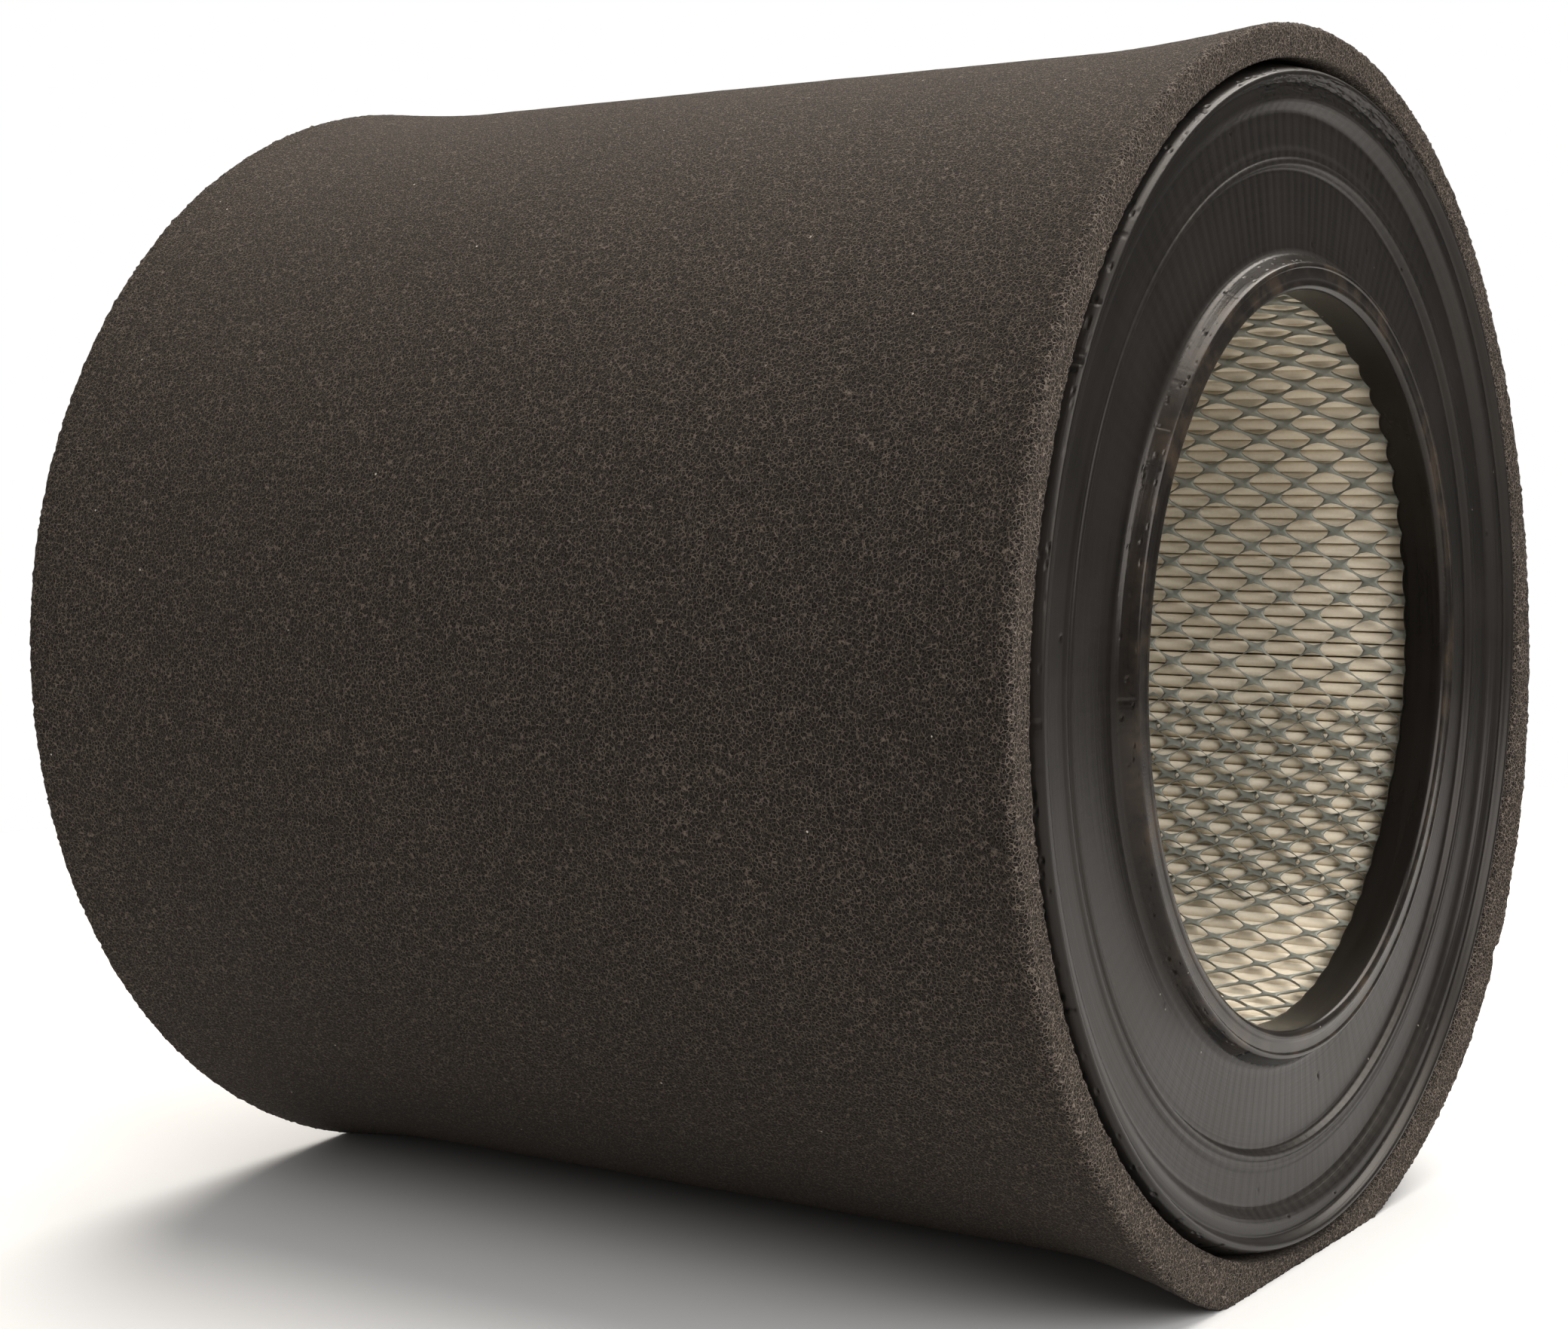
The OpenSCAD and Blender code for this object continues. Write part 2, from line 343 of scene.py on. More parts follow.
def urethane_material():
    """Black cast urethane. Its flat faces have radial marks from the pleats, strongest above
    and below the bore, where they are also painted lighter as painted sheen. It also has fine
    turning marks from the mould, brown smudges, dust on the sealing lip, a few specks and a
    fine grain. The neck is glossier than the rest."""
    n = Nodes("cast_urethane")
    angle, radius = n.round_axis()
    uneven = n.noise(1.0, 3, 0.6, vector=n.axis_coordinates(60, 12, 12))
    pleat_turn = n.math("MULTIPLY", angle, PLEATS)
    wave = n.math("SINE", n.math("MULTIPLY_ADD", uneven, 5.0, pleat_turn))
    streak = n.math("MULTIPLY", n.math("MULTIPLY_ADD", wave, 0.5, 0.5), uneven)
    aside = n.math("ABSOLUTE", n.xyz()[1])
    # The marks fade out to the left and right of the bore, so that their lighter colour is painted
    # sheen above and below it.
    streak = n.math("MULTIPLY", streak, n.by_distance(aside, [(25, 1.0), (75, 0.1)]))
    turning = n.noise(1.0, 2, 0.5, vector=n.axis_coordinates(1.5, 2600, 900))
    flat = n.by_distance(radius, [(65.5, 0.0), (67.0, 1.0), (89.5, 1.0), (91.5, 0.0)])
    smudge = n.noise(34, 4, 0.6)
    grain = n.noise(2600, 2, 0.5)
    base = n.mix(n.ramp(smudge, [(0.42, 0.0), (0.75, 1.0)]), (0.0050, 0.0045, 0.0041),
                 (0.0108, 0.0090, 0.0076))
    base = n.mix(n.ramp(turning, [(0.40, 0.30), (0.60, 0.0)]), base, (0.0125, 0.0110, 0.0097))
    # Painted sheen: the pleat marks are lightened only above and below the bore.
    pleat_marks_and_painted_sheen = n.math("MULTIPLY", flat, n.ramp(streak, [(0.05, 0.0), (0.55, 0.5)]))
    base = n.mix(pleat_marks_and_painted_sheen, base, (0.0165, 0.0141, 0.0122))
    lip = n.by_distance(radius, [(60.3, 0.0), (60.8, 1.0), (64.5, 1.0), (66.0, 0.0)])
    dusty = n.math("MULTIPLY", lip, n.ramp(n.noise(120, 4, 0.65), [(0.45, 0.0), (0.68, 0.8)]))
    base = n.mix(dusty, base, (0.040, 0.0285, 0.0195))
    specks = n.math("MULTIPLY", n.ramp(n.cells(260), [(0.0, 1.0), (0.035, 0.7), (0.05, 0.0)]),
                    n.ramp(n.noise(90, 1, 0.5), [(0.60, 0.0), (0.64, 0.8)]))
    n.set(color=n.mix(specks, base, (0.30, 0.27, 0.22)), specular=0.22,
          specular_tint=(1.0, 0.90, 0.83))
    rough = n.math("ADD", n.math("MULTIPLY", smudge, 0.14),
                   n.math("MULTIPLY", n.math("MULTIPLY", flat, streak), 0.08))
    satin = n.by_distance(radius, [(65.5, 0.18), (68.0, 0.28)])
    n.set(rough=n.math("ADD", rough, satin))
    normal = n.bump(n.math("MULTIPLY", streak, flat), 0.22, 0.0002)
    normal = n.bump(turning, 0.16, 0.0003, normal)
    n.set(normal=n.bump(grain, 0.12, 0.0001, normal))
    return n


def galvanised_material(name, base, spread):
    """Dull zinc: soft spangles, a little white bloom and a fine grain."""
    n = Nodes(name)
    spangle = n.cells(330, output="Color")
    split = n.make("ShaderNodeSeparateColor")
    n.link(spangle, split.inputs[0])
    bloom = n.noise(160, 4, 0.65)
    tone = n.math("ADD", n.math("MULTIPLY", split.outputs[0], 0.45),
                  n.math("MULTIPLY", bloom, 0.55))
    n.set(color=n.mix(tone, base, spread), metal=0.3, specular=0.4)
    n.set(rough=n.math("ADD", n.math("MULTIPLY", bloom, 0.3), 0.42))
    n.set(normal=n.bump(n.noise(2400, 3, 0.6), 0.25, 0.0002))
    return n


def paper_material():
    """Resin-treated cellulose: cream, fibrous, a little darker in patches."""
    n = Nodes("filter_paper")
    fibre = n.noise(1500, 5, 0.7, distortion=0.4)
    slow = n.noise(45, 4, 0.6)
    drag = n.noise(1.0, 3, 0.6, vector=n.axis_coordinates(140, 1, 60))
    base = n.mix(n.ramp(slow, [(0.35, 0.0), (0.7, 1.0)]), (0.74, 0.655, 0.52), (0.80, 0.73, 0.60))
    base = n.mix(n.ramp(fibre, [(0.35, 0.30), (0.65, 0.0)]), base, (0.60, 0.50, 0.36))
    n.set(color=n.mix(n.ramp(drag, [(0.4, 0.25), (0.62, 0.0)]), base, (0.64, 0.545, 0.41)),
          rough=0.85, specular=0.25)
    n.set(normal=n.bump(fibre, 0.4, 0.0002))
    return n


def hot_melt_material():
    """Amber-cream hot melt, slightly translucent."""
    n = Nodes("hot_melt")
    slow = n.noise(90, 3, 0.5)
    n.set(color=n.mix(slow, (0.62, 0.54, 0.36), (0.78, 0.70, 0.52)), rough=0.38, specular=0.5,
          subsurface=0.2, subsurface_scale=0.002)
    n.set(normal=n.bump(n.noise(420, 2, 0.5), 0.3, 0.0004))
    return n


def adhesive_material():
    """Nearly black contact adhesive, lumpy and a little shiny."""
    n = Nodes("contact_adhesive")
    lumps = n.noise(800, 3, 0.6)
    n.set(color=n.mix(lumps, (0.016, 0.014, 0.012), (0.045, 0.038, 0.032)), specular=0.4)
    n.set(rough=n.math("ADD", n.math("MULTIPLY", lumps, 0.3), 0.35))
    n.set(normal=n.bump(lumps, 0.6, 0.0005))
    return n


def floor_material():
    """Matt pale grey, which the light makes white."""
    n = Nodes("studio_floor")
    n.set(color=n.mix(n.noise(3, 2, 0.5), (0.56, 0.56, 0.56), (0.58, 0.58, 0.58)), rough=0.9,
          specular=0.1)
    return n


# ---------------------------------------------------------------- end caps

# In millimetres, with x from the outlet end's plane.
CAP_FLAT_X = -1.60
POTTING_X = -5.4
BORE_WALL_X = -6.8
PAD_R, PAD_PITCH_R, PADS = 3.7, 85.85, 4


def cap_face_outline():
    """[radius, x] in millimetres, from the neck's base out to the end of the skirt."""
    rim, skirt = RIM_R / MM, SKIRT_R / MM
    return [
        [66.15, -2.05], [66.7, -2.38], [67.6, -2.40], [72.0, -2.40], [78.4, -2.40], [79.1, -2.48],
        [79.5, -2.30], [79.8, -1.75], [80.1, -1.30], [80.6, -1.14], [81.0, -1.24], [81.3, -1.48],
        [81.7, -1.40], [82.1, -1.30], [82.6, -1.38], [83.1, -1.57], [84.0, CAP_FLAT_X],
        [87.4, CAP_FLAT_X], [88.1, -1.55], [88.7, -1.25], [89.3, -0.65], [90.0, -0.05],
        [90.8, 0.30], [91.6, 0.42], [92.3, 0.36], [92.8, 0.20], [93.1, 0.45], [93.4, 1.05],
        [rim - 0.5, 1.62], [rim - 0.1, 1.80], [rim + 0.3, 1.70], [rim + 0.7, 1.10],
        [rim + 1.05, 0.0], [rim + 1.4, -1.6], [skirt - 0.3, -3.0], [skirt, -4.6], [skirt, -8.0],
        [skirt - 0.05, -12.4], [skirt - 0.4, -12.95], [skirt - 1.2, -13.0], [skirt - 2.3, -13.0],
        [skirt - 2.4, -12.6], [skirt - 2.4, POTTING_X],
    ]


def neck_outline():
    """[radius, x] in millimetres, from the potting up the bore and over the lip."""
    return [
        [61.0, POTTING_X], [61.0, BORE_WALL_X + 0.5], [60.9, BORE_WALL_X], [60.45, BORE_WALL_X],
        [60.05, BORE_WALL_X + 0.35], [60.0, -5.0], [60.0, -2.0], [60.0, -0.35], [60.08, 0.1],
        [60.35, 0.5], [60.8, 0.78], [61.4, 0.88], [61.75, 0.84], [62.0, 0.70], [62.9, 0.66],
        [63.6, 0.68], [63.8, 0.86], [64.15, 0.92], [64.5, 0.80], [64.75, 0.42], [65.0, -0.1],
        [65.4, -1.0], [65.75, -1.7],
    ]


def band(value, low, high, soft):
    """1 between low and high, falling to 0 over the width soft on either side."""
    return np.clip(np.minimum(value - low, high - value) / soft + 1, 0, 1)


def casting_flaws(phi, r, x):
    """How far each point is pushed in, in millimetres: small bubbles and cracks on the neck's
    wall and the rim's shoulder, on the left side, a crackled patch on the rim's top, and a few
    bubbles elsewhere. The bands are in degrees round the axis and in millimetres."""
    shape = np.broadcast(phi, r).shape
    single = rng.normal(0, 1, shape)
    fine = (single + np.roll(single, 1, 0) + np.roll(single, 1, 1)) / math.sqrt(3)
    long_way = rng.normal(0, 1, shape)
    long_way = sum(np.roll(long_way, k, 0) for k in range(5)) / math.sqrt(5)
    turn = np.degrees(phi) % 360
    left = band(turn, 100, 262, 12)
    neck = left * band(r, 64.7, 65.8, 0.2) * band(x, -1.6, 0.3, 0.3)
    shoulder = band(turn, 78, 276, 10) * band(r, RIM_R / MM + 0.6, RIM_R / MM + 2.0, 0.3)
    patch = band(turn, 62, 101, 5) * band(r, RIM_R / MM - 3.2, RIM_R / MM - 0.5, 0.5)
    holes = neck * np.clip(single - 2.3, 0, 0.4) + shoulder * np.clip(fine - 2.1, 0, 0.6)
    cracks = neck * np.clip(long_way - 2.8, 0, 0.3) + shoulder * np.clip(long_way - 2.3, 0, 0.4)
    ticks = np.clip(rng.normal(0, 1, (shape[0], 1)) - 2.0, 0, 0.5)
    cracks = cracks + ticks * (shoulder + neck * 0.25)
    crackle = patch * (np.clip(long_way - 1.1, 0, 0.5) + np.clip(fine - 1.2, 0, 0.4))
    stray = np.clip(fine - 3.4, 0, 0.5) * band(r, 66.5, 96.0, 0.5)
    return 1.1 * (holes + cracks) + 0.55 * crackle + stray


def lathe_cap(outline, around, scallops):
    """A closed outline turned round X, with the casting's flaws. With scallops, the potting's
    edge in the bore follows the pleats, and draws back where it is bare."""
    line = smooth_line(outline, 0.7)
    phi = np.linspace(0, 2 * math.pi, around, endpoint=False)[:, None]
    r, x = line[None, :, 0], line[None, :, 1]
    run = np.gradient(line, axis=0)
    run /= np.maximum(np.linalg.norm(run, axis=1, keepdims=True), 1e-9)
    push = casting_flaws(phi, r, x)
    wide = np.clip(r / 40, 0, 1)
    rr = r + 0.05 * wide * wave_noise(phi, x * 0.02 + r * 0.01, 11) + push * run[None, :, 1]
    xx = x + 0.04 * wide ** 2 * wave_noise(phi, r * 0.02, 12) - push * run[None, :, 0]
    if scallops:
        near_edge = np.clip((BORE_WALL_X + 1.6 - x) / 1.4, 0, 1) * (r < 61.1)
        wave = np.abs(np.sin(phi * scallops / 2)) * 0.7
        loose = 0.5 + 0.5 * wave_noise(phi, x * 0, 13, 4, 6)
        bare = np.exp(-(ring_distance(phi, math.radians(35)) / 0.45) ** 2)
        xx = xx - near_edge * (wave * (0.35 + bare) + loose * 0.5 - 1.1 * bare)
    verts = round_axis(xx * MM, rr * MM, np.broadcast_to(phi, rr.shape)).reshape(-1, 3)
    return verts, grid_faces(around, len(line))


def outlet_cap(finish):
    """The cap with the outlet, and the sealing lip round it."""
    outline = neck_outline() + cap_face_outline()
    cap = mesh_object("outlet_cap_moulding", *lathe_cap(outline, around=1200, scallops=60))
    paint(cap, finish)
    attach(cap, "element")
    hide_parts("outlet_end_cap")


def closed_cap_outline():
    """[radius, x] of the closed cap as if it were at the outlet end, from its centre outwards.
    Its inside lies just behind the steel plate."""
    middle = [
        [0.001, CAP_FLAT_X], [20.0, CAP_FLAT_X], [57.6, CAP_FLAT_X], [58.2, -1.48],
        [58.7, -1.22], [59.3, -1.20], [59.8, -1.40], [60.3, -2.1], [60.8, -2.38], [61.6, -2.40],
    ]
    plate_back = (2 * MID_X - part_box("closed_end_plate")[0].x) / MM + 0.05
    plate_edge = outer_radius("closed_end_plate") / MM + 0.1
    return middle + cap_face_outline()[1:] + [
        [61.0, POTTING_X], [plate_edge, POTTING_X], [plate_edge, plate_back], [0.001, plate_back]]


def stand_off_pad(angle):
    """A round moulded pad with a filleted foot and a rounded top, pointing to -X."""
    line = smooth_line([[PAD_R + 1.4, 0.15], [PAD_R + 0.6, 0.0], [PAD_R + 0.1, -0.5],
                        [PAD_R - 0.6, -3.9], [PAD_R - 1.2, -4.8], [PAD_R - 2.2, -5.0],
                        [0.01, -5.0]], 0.3)
    around = 48
    turn = np.linspace(0, 2 * math.pi, around, endpoint=False)[:, None]
    out = PAD_PITCH_R + line[None, :, 0] * np.cos(turn)
    along = line[None, :, 0] * np.sin(turn)
    x = np.broadcast_to(2 * MID_X / MM - CAP_FLAT_X + line[None, :, 1], out.shape)
    y = out * math.cos(angle) - along * math.sin(angle)
    z = out * math.sin(angle) + along * math.cos(angle)
    verts = np.stack([x, y, z], -1).reshape(-1, 3) * MM
    return verts, grid_faces(around, len(line), True, False)


def closed_cap(finish):
    """The far cap, a mirror image of the outlet's outside the bore, with its stand-off pads."""
    verts, faces = lathe_cap(closed_cap_outline(), around=900, scallops=0)
    verts[:, 0] = 2 * MID_X - verts[:, 0]
    pads = [stand_off_pad(math.radians(45 + 360 / PADS * k)) for k in range(PADS)]
    cap = mesh_object("closed_cap_moulding", *joined([(verts, faces)] + pads))
    paint(cap, finish)
    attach(cap, "element")
    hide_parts("closed_end_cap")


def closing_plate(finish):
    """The pressed steel disc at the bottom of the core, with two stiffening rings."""
    low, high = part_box("closed_end_plate")
    edge = (high.y - low.y) / 2 / MM
    x0, depth = low.x / MM, (high.x - low.x) / MM
    top = [[0.001, 0.8], [22, 0.8], [23.5, 1.0], [25, 1.9], [27, 1.9], [28.5, 1.0], [30, 0.8],
           [46, 0.8], [47, 1.1], [48, 1.5], [49.5, 1.5], [50.5, 1.1], [51.5, 0.8], [edge - 2, 0.8],
           [edge - 1.0, 1.2], [edge - 0.8, 2.2], [edge - 0.8, depth - 0.2]]
    under = [[edge - 0.4, depth], [edge, depth - 0.2], [edge, 1.4], [edge - 0.7, 0.3],
             [edge - 1.8, 0.0], [0.001, 0.0]]
    line = smooth_line(top + under, 0.5)
    around = 256
    phi = np.linspace(0, 2 * math.pi, around, endpoint=False)[:, None]
    r = np.broadcast_to(line[None, :, 0], (around, len(line)))
    x = np.broadcast_to(line[None, :, 1] + x0, r.shape)
    verts = round_axis(x * MM, r * MM, np.broadcast_to(phi, r.shape)).reshape(-1, 3)
    plate = mesh_object("core_closing_plate", verts, grid_faces(around, len(line), True, False))
    paint(plate, finish)
    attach(plate, "element")
    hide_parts("closed_end_plate")


# ---------------------------------------------------------------- expanded-metal liners

DIAMOND_L = 11.4 * MM
STRAND_W = 1.0 * MM
SHEET_T = 0.45 * MM
TWIST = 0.22 * MM
HOLE_INSET_L, HOLE_INSET_W = 1.35 * STRAND_W, 0.68 * STRAND_W  # from the diamond's corners
HOLE_SHARPNESS = 1.3  # 1 is an ellipse, 2 a diamond
INNER_COLUMNS, LAP_COLUMNS, OUTER_COLUMNS = 60, 61, 95
LAP_FROM, LAP_TO = math.radians(-51), math.radians(-16)


def opening_rings(half_l, half_w, per_side):
    """Rings of (along, across, lift) round one opening: the diamond along the strands' middles,
    a ring halfway down the strand, and the edge of the rounded hole."""
    share = np.arange(per_side) / per_side
    quarter = share * math.pi / 2
    straight = np.stack([1 - share, share])
    rounded = np.stack([np.cos(quarter), np.sin(quarter)]) ** HOLE_SHARPNESS
    cell, hole = [], []
    for turn in range(4):
        for ring, (u, v) in ((cell, straight), (hole, rounded)):
            for _ in range(turn):
                u, v = -v, u
            ring.append(np.stack([u, v]))
    cell, hole = np.concatenate(cell, 1), np.concatenate(hole, 1)
    cell = cell * [[half_l], [half_w]]
    hole = hole * [[half_l - HOLE_INSET_L], [half_w - HOLE_INSET_W]]
    twist = -TWIST * hole[1] / np.abs(hole[1]).max()
    half = 0.45 * cell + 0.55 * hole
    return [(*cell, 0 * twist), (*half, 0.55 * twist), (*hole, twist)]


def expanded_sheet(r, columns, first_phi, last_phi, x0, x1, shift_x=0.0, per_side=4):
    """Part of a tube of expanded steel at radius r. Every strand is twisted, so that its two
    edges stand at different heights."""
    half_l, half_w = DIAMOND_L / 2, math.pi * r / columns
    rings = opening_rings(half_l, half_w, per_side)
    top = [(u, v, lift + SHEET_T / 2) for u, v, lift in rings]
    under = [(u, v, lift - SHEET_T / 2) for u, v, lift in rings[::-1]]
    u, v, lift = (np.stack(rows) for rows in zip(*(top + under)))
    cell_faces = grid_faces(2 * len(rings), 4 * per_side, False, True)
    cells = []
    step = 2 * math.pi / columns
    for half in (0, 1):
        for col in range(math.ceil(first_phi / step), math.ceil(last_phi / step)):
            for row in range(-1, int((x1 - x0) / DIAMOND_L) + 2):
                x_c = x0 + shift_x + (row + 0.5 * half) * DIAMOND_L
                if not x0 - half_l < x_c < x1 + half_l:
                    continue
                phi = (col + 0.5 * half) * step + v / r
                verts = round_axis(np.clip(x_c + u, x0, x1), r + lift, phi)
                cells.append((verts.reshape(-1, 3), cell_faces))
    return joined(cells)


def liner_piece(name, sheets, node, finish):
    """One liner, made of its sheets."""
    liner = mesh_object(name, *joined(sheets))
    paint(liner, finish)
    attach(liner, "element")
    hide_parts(node)


def inner_liner(finish):
    """The tube inside the pleats, with the lap where its sheet's two edges meet."""
    full = expanded_sheet(INNER_LINER_R + 0.4 * MM, INNER_COLUMNS, 0, 2 * math.pi,
                          LINER_X0, LINER_X1)
    lap = expanded_sheet(INNER_LINER_R + 1.15 * MM, LAP_COLUMNS, LAP_FROM, LAP_TO,
                         LINER_X0, LINER_X1, shift_x=-4.1 * MM)
    liner_piece("expanded_inner_liner", [full, lap], "inner_liner", finish)


def outer_liner(finish):
    """The tube outside the pleats."""
    full = expanded_sheet(OUTER_LINER_R + 0.3 * MM, OUTER_COLUMNS, 0, 2 * math.pi,
                          LINER_X0, LINER_X1, per_side=3)
    liner_piece("expanded_outer_liner", [full], "outer_liner", finish)


# ---------------------------------------------------------------- paper


def paper_path():
    """The folded strip seen along the axis, as arrays of radius, angle and number of folds.
    The inner folds are fat, the spacing is slightly uneven, and the two ends come together in
    the seam clip, at the angle 0."""
    low, high = PLEAT_IN_R + 0.3 * MM, PLEAT_OUT_R - 0.3 * MM
    half_fold = [(0.0, high), (0.07, high - 0.15 * MM), (0.12, high - 0.7 * MM),
                 (0.125, low + 2.0 * MM), (0.145, low + 0.9 * MM), (0.20, low + 0.4 * MM),
                 (0.32, low + 0.08 * MM), (0.5, low)]
    fold = np.array(half_fold + [(1 - share, r) for share, r in half_fold[-2:0:-1]])
    t = (np.arange(PLEATS)[:, None] + fold[None, :, 0]).ravel()
    r = np.tile(fold[:, 1], PLEATS)
    from_seam = np.minimum(t, PLEATS - t)
    kept = (from_seam > 0.1) & ~((r > low + 3 * MM) & (from_seam < 0.2))
    t, r = t[kept], r[kept]
    uneven = 0.035 * np.sin(t * 1.7) + 0.03 * np.sin(t * 0.61 + 1)
    phi = (t + uneven) * 2 * math.pi / PLEATS
    clip_low, clip_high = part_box("media_seam_clip")
    leg_r = np.array([clip_low.y - 1.5 * MM, clip_low.y, clip_high.y - 1.2 * MM])
    leg_phi = 0.26 * MM / leg_r
    return (np.concatenate([leg_r[::-1], r, leg_r]),
            np.concatenate([leg_phi[::-1], phi, 2 * math.pi - leg_phi]),
            np.concatenate([np.zeros(3), t, np.zeros(3)]))


def pleat_pack(finish):
    """The folded paper strip, with a slight sway along each fold."""
    along, paper = 8, 0.45 * MM
    r, phi, t = paper_path()
    y, z = r * np.cos(phi), r * np.sin(phi)
    dy, dz = np.gradient(y), np.gradient(z)
    size = np.maximum(np.hypot(dy, dz), 1e-9)
    ny, nz = -dz / size, dy / size
    x = np.linspace(LINER_X0, LINER_X1, along)
    sway = 0.10 * MM * np.sin(x[None, :] * 55 + t[:, None] * 0.9) * np.sin(t[:, None] * 0.37)
    sides = []
    for side in (0.5, -0.5):
        yy = y[:, None] + ny[:, None] * side * paper - np.sin(phi)[:, None] * sway
        zz = z[:, None] + nz[:, None] * side * paper + np.cos(phi)[:, None] * sway
        sides.append(np.stack([np.broadcast_to(x, yy.shape), yy, zz], -1))
    grid = np.concatenate([sides[0], sides[1][:, ::-1]], 1)
    count, across = grid.shape[:2]
    faces = grid_faces(count, across, False, True)
    ends = []
    for row in (0, count - 1):
        for k in range(along - 1):
            ends.append([row * across + c for c in (k, k + 1, across - 2 - k, across - 1 - k)])
    pack = mesh_object("pleated_paper", grid.reshape(-1, 3), np.vstack([faces, ends]))
    paint(pack, finish)
    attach(pack, "element")
    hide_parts("pleated_media")


def seam_clip(finish):
    """A steel strip folded over the paper's two ends, crimped at even spaces."""
    low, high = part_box("media_seam_clip")
    half_w = (high.z - low.z) / 2
    bend_y = high.y - half_w
    t = 0.2 * MM
    inside = [[low.y, half_w - t], [bend_y, half_w - t], [high.y - 0.5 * half_w, 0.4 * half_w],
              [high.y - t, 0]]
    outside = [[low.y, half_w], [bend_y, half_w], [high.y - 0.2 * half_w, 0.6 * half_w],
               [high.y, 0]]
    line = np.array(inside + [[y, -z] for y, z in inside[-2::-1]]
                    + [[y, -z] for y, z in outside] + outside[-2::-1])
    x = np.linspace(low.x, high.x, 145)
    pitch = 12 * MM
    crimp = 1 - 0.22 * np.clip(np.cos((x - low.x) * 2 * math.pi / pitch), 0, 1) ** 4
    y = np.broadcast_to(line[None, :, 0], (len(x), len(line)))
    z = line[None, :, 1] * crimp[:, None]
    grid = np.stack([np.broadcast_to(x[:, None], y.shape), y, z], -1)
    clip = mesh_object("paper_seam_clip", grid.reshape(-1, 3),
                       grid_faces(len(x), len(line), False, True))
    paint(clip, finish)
    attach(clip, "element")
    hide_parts("media_seam_clip")


def bead_rings(finish):
    """Hot-melt beads that wander a little and swell where they meet each fold."""
    low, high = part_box("pleat_beads")
    around, section = 1008, 12
    phi = np.linspace(0, 2 * math.pi, around, endpoint=False)
    turn = np.linspace(0, 2 * math.pi, section, endpoint=False)
    centre_r = (high.y - low.y) / 2 - 0.36 * MM
    rings = []
    for k, x_c in enumerate((low.x + 1.5 * MM, high.x - 1.5 * MM)):
        swell = 1 + 0.16 * np.cos(phi * PLEATS) + 0.08 * wave_noise(phi, 0, 30 + k)
        wander = 0.25 * MM * wave_noise(phi, 0, 40 + k, 3, 3)
        x = x_c + wander[:, None] + 1.2 * MM * np.cos(turn) * swell[:, None]
        r = centre_r + 0.34 * MM * np.sin(turn) * np.clip(swell[:, None], 0, 1.02)
        verts = round_axis(x, r, np.broadcast_to(phi[:, None], r.shape)).reshape(-1, 3)
        rings.append((verts, grid_faces(around, section)))
    beads = mesh_object("pleat_bead_rings", *joined(rings))
    paint(beads, finish)
    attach(beads, "element")
    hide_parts("pleat_beads")


# ---------------------------------------------------------------- foam sleeve


def foam_outside():
    """The outside of the sleeve's section as [x from its middle, r], from the outlet end."""
    half = (SLEEVE_X1 - SLEEVE_X0) / 2
    corner, flare = 1.3 * MM, 30 * MM
    from_end = np.concatenate([corner * (1 - np.cos(np.linspace(0, math.pi / 2, 6))),
                               np.linspace(corner, 10 * MM, 16)[1:],
                               np.linspace(10 * MM, flare, 16)[1:],
                               np.linspace(flare, half, 20)[1:]])
    x = np.concatenate([half - from_end, from_end[-2::-1] - half])
    inset = half - np.abs(x)
    r = SLEEVE_R - 2.2 * MM * (1 - np.clip(1 - inset / flare, 0, 1) ** 1.6)
    r -= corner - np.sqrt(corner ** 2 - np.clip(corner - inset, 0, corner) ** 2)
    return np.stack([x, r], 1)


def foam_wall():
    """The whole section: out across the outlet end, along the outside, in across the other end
    and back along the inside."""
    half = (SLEEVE_X1 - SLEEVE_X0) / 2
    outer = foam_outside()
    inner = np.stack([np.linspace(-half, half, 40), np.full(40, SLEEVE_IN_R)], 1)
    cut = np.linspace(0, 1, 12)[1:-1, None]
    return np.vstack([inner[-1:] * (1 - cut) + outer[:1] * cut, outer,
                      outer[-1:] * (1 - cut) + inner[:1] * cut, inner])


def foam_sleeve(finish):
    """Stretched over the caps, so it has a waist between them, a loose lip at the outlet end,
    and a flat underneath where the element's weight presses it."""
    around = 1000
    line = foam_wall()
    half = (SLEEVE_X1 - SLEEVE_X0) / 2
    phi = np.linspace(0, 2 * math.pi, around, endpoint=False)[:, None]
    x = np.broadcast_to(line[None, :, 0], (around, len(line))).copy()
    r = np.broadcast_to(line[None, :, 1], x.shape).copy()
    outside = np.clip((r - SLEEVE_IN_R) / (4.2 * MM), 0, 1)  # 0 on the inside, 1 on the outside
    near = np.clip(1 - (half - x) / (24 * MM), 0, 1)  # 1 at the outlet end

    def bulge(at_deg, width):
        return np.exp(-(ring_distance(phi, math.radians(at_deg)) / width) ** 2)

    # The lip swells at the lower right and underneath, and has one crease.
    r += outside * near ** 1.6 * (1.5 * bulge(-36, 0.62) + 2.6 * bulge(-112, 0.34)) * MM
    x += outside ** 0.5 * near ** 3 * (2.2 * bulge(-36, 0.62) + 0.8 * bulge(6, 0.7)) * MM
    r -= outside * near ** 4 * bulge(-37, 0.02) * 1.6 * MM
    r += outside * 0.16 * MM * wave_noise(phi, x, 21, 4, 2)
    at_end = np.clip(1 - (half - np.abs(x)) / (3 * MM), 0, 1)
    x += np.sign(x) * at_end * 0.2 * MM * wave_noise(phi, 0 * x, 22, 6, 6)
    # Broken cells roughen the surface, most of all at the cut ends.
    cells = rng.normal(0, 1, x.shape)
    r += cells * outside * (0.03 + 0.07 * at_end) * MM
    x += rng.normal(0, 0.09 * MM, x.shape) * at_end
    verts = round_axis(MID_X + x, r, np.broadcast_to(phi, r.shape))
    verts[..., 2] = np.maximum(verts[..., 2], REST_Z + 0.02 * MM)
    sleeve = mesh_object("foam_precleaner", verts.reshape(-1, 3), grid_faces(around, len(line)))
    paint(sleeve, finish)
    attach(sleeve, "sleeve")
    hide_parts("foam_sleeve")


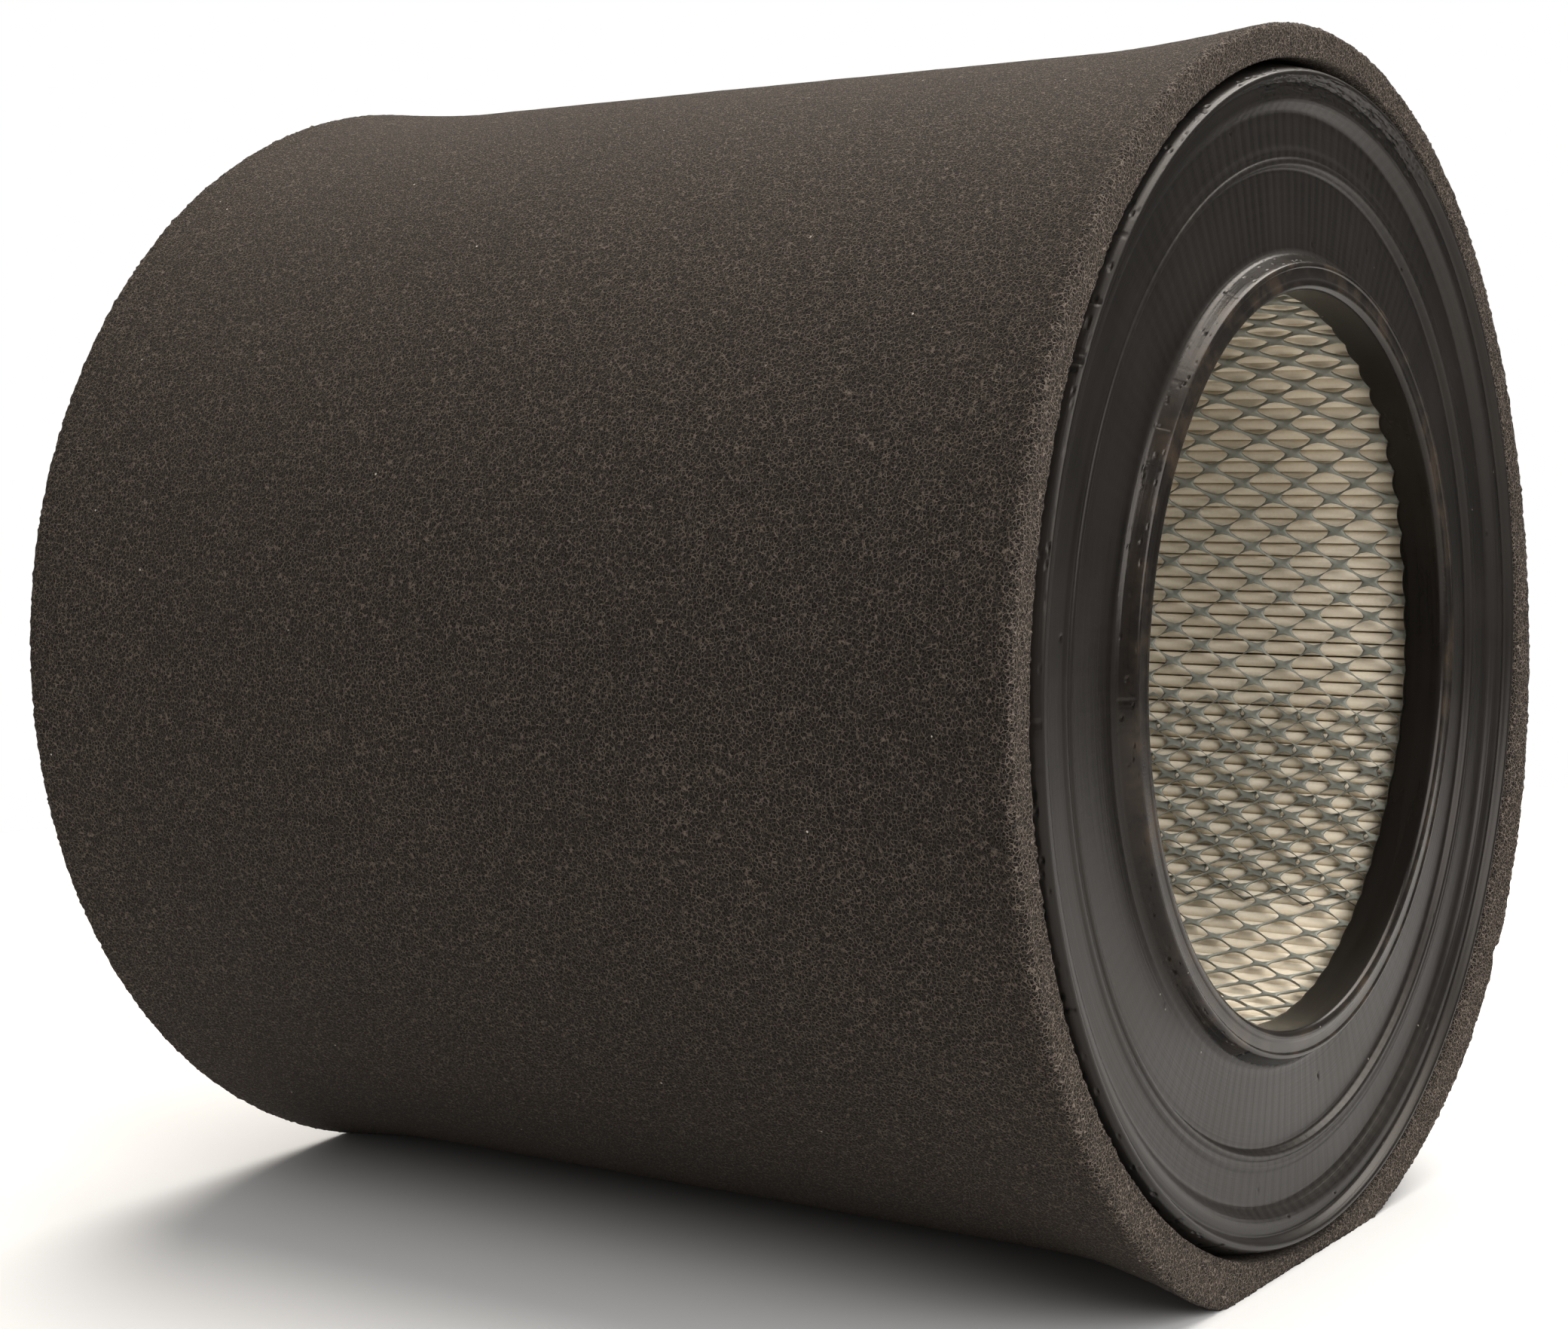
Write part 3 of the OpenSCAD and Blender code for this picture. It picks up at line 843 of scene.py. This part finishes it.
def glue_line(finish):
    """The adhesive in the sleeve's butt joint: a thin uneven strip through the foam, with its
    edge just showing outside."""
    angle = math.radians(40)
    outer = foam_outside()
    top = outer[:, 1] - 0.05 * MM
    x = outer[:, 0] + MID_X
    n = len(x)
    width = 0.32 * MM * (1 + 0.35 * wave_noise(np.linspace(0, 6.28, n), 0, 50, 5, 5))
    section = np.array([[-1, 0], [-0.6, 1], [0.6, 1], [1, 0], [0.9, -1], [-0.9, -1]])
    base = SLEEVE_IN_R + 0.2 * MM
    side = section[None, :, 0] * width[:, None]
    up = np.where(section[None, :, 1] > 0.5, top[:, None] + 0.22 * MM,
                  np.where(section[None, :, 1] < -0.5, base, top[:, None] - 0.4 * MM))
    y = up * math.cos(angle) - side * math.sin(angle)
    z = up * math.sin(angle) + side * math.cos(angle)
    grid = np.stack([np.broadcast_to(x[:, None], y.shape), y, z], -1)
    strip = mesh_object("sleeve_glue_line", grid.reshape(-1, 3),
                        grid_faces(n, len(section), False, True))
    paint(strip, finish)
    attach(strip, "sleeve")
    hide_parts("sleeve_joint")


# ---------------------------------------------------------------- studio


def studio_floor():
    """A round floor that fades into the white of the room."""
    around, radii = 96, (0.05, 0.62)
    turn = np.linspace(0, 2 * math.pi, around, endpoint=False)
    rings = [np.stack([np.cos(turn) * r, np.sin(turn) * r, 0 * turn], -1) for r in radii]
    last = around - 1
    middle = [[k, k + 1, last - k - 1, last - k] for k in range(around // 2 - 1)]
    faces = np.vstack([grid_faces(len(radii), around, False, True), middle])
    floor = mesh_object("studio_floor", np.vstack(rings), faces, smooth=False)
    floor.location.z = REST_Z
    paint(floor, floor_material())


def studio_room():
    """A room that looks white to the camera, but lights the part dimly, more from above."""
    world = bpy.data.worlds.new("studio")
    bpy.context.scene.world = world
    world.use_nodes = True
    tree = world.node_tree
    back = tree.nodes["Background"]
    place = tree.nodes.new("ShaderNodeTexCoord").outputs["Generated"]
    split = tree.nodes.new("ShaderNodeSeparateXYZ")
    tree.links.new(place, split.inputs[0])
    height = tree.nodes.new("ShaderNodeMapRange")
    tree.links.new(split.outputs[2], height.inputs["Value"])
    for name, value in (("From Min", -0.05), ("From Max", 0.9), ("To Min", 0.10), ("To Max", 0.50)):
        height.inputs[name].default_value = value
    seen = tree.nodes.new("ShaderNodeMath")
    seen.operation = "MAXIMUM"
    tree.links.new(height.outputs[0], seen.inputs[0])
    looked_at = tree.nodes.new("ShaderNodeLightPath").outputs["Is Camera Ray"]
    tree.links.new(looked_at, seen.inputs[1])
    tree.links.new(seen.outputs[0], back.inputs["Strength"])
    tint = tree.nodes.new("ShaderNodeMix")
    tint.data_type = "RGBA"
    fac, warm, white = (tint.inputs[at] for at in COLOUR_MIX_INPUTS)
    tree.links.new(looked_at, fac)
    warm.default_value, white.default_value = (1, 0.94, 0.88, 1), (1, 1, 1, 1)
    tree.links.new(tint.outputs[COLOUR_MIX_OUTPUT], back.inputs["Color"])


def overhead_light():
    """A wide soft light from above and a little behind the element."""
    overhead = bpy.data.lights.new("overhead", "SUN")
    overhead.energy = 6.9
    overhead.color = (1.0, 0.955, 0.895)
    overhead.angle = math.radians(66)
    obj = bpy.data.objects.new("overhead", overhead)
    bpy.context.scene.collection.objects.link(obj)
    obj.rotation_euler = Vector((-0.02, 0.42, 0.91)).to_track_quat("Z", "Y").to_euler()


def soft_light(name, place, target, size, power):
    """A rectangular light at place, turned to target."""
    light = bpy.data.lights.new(name, "AREA")
    light.shape = "RECTANGLE"
    light.size, light.size_y = size
    light.energy = power
    obj = bpy.data.objects.new(name, light)
    bpy.context.scene.collection.objects.link(obj)
    obj.location = place
    obj.rotation_euler = (Vector(target) - Vector(place)).to_track_quat("-Z", "Y").to_euler()


def photo_camera():
    """A nearly level camera in front, towards the outlet's end, as fitted to the photo."""
    place = Vector((173.3, -412.7, 36.9)) * MM
    azimuth, elevation, roll = math.radians(34.19), math.radians(3.99), math.radians(0.59)
    level = math.cos(elevation)
    back = Vector((math.sin(azimuth) * level, -math.cos(azimuth) * level, math.sin(elevation)))
    camera = bpy.data.cameras.new("photo_camera")
    camera.sensor_width = 36
    camera.lens = 61.96
    camera.shift_x = 0.0109
    camera.shift_y = -0.0233
    camera.clip_start = 0.01
    obj = bpy.data.objects.new("photo_camera", camera)
    bpy.context.scene.collection.objects.link(obj)
    turn = back.to_track_quat("Z", "Y").to_matrix() @ Matrix.Rotation(-roll, 3, "Z")
    obj.matrix_world = Matrix.Translation(place) @ turn.to_4x4()
    bpy.context.scene.camera = obj


bpy.context.scene.view_settings.view_transform = "Standard"
foam, urethane, paper = foam_material(), urethane_material(), paper_material()
zinc = galvanised_material("galvanised_mesh", (0.175, 0.182, 0.156), (0.30, 0.305, 0.27))
sheet_zinc = galvanised_material("galvanised_sheet", (0.40, 0.42, 0.40), (0.62, 0.64, 0.61))

photo_camera()
outlet_cap(urethane)
closed_cap(urethane)
closing_plate(sheet_zinc)
inner_liner(zinc)
outer_liner(zinc)
pleat_pack(paper)
seam_clip(sheet_zinc)
bead_rings(hot_melt_material())
foam_sleeve(foam)
glue_line(adhesive_material())
studio_floor()
studio_room()
overhead_light()
soft_light("mouth", (0.85, -0.40, 0.55), (-0.04, 0.02, -0.01), (0.8, 0.8), 13.5)
soft_light("low_fill", (-0.3, -1.0, -0.05), (-0.1, 0, -0.08), (0.9, 0.12), 0.9)
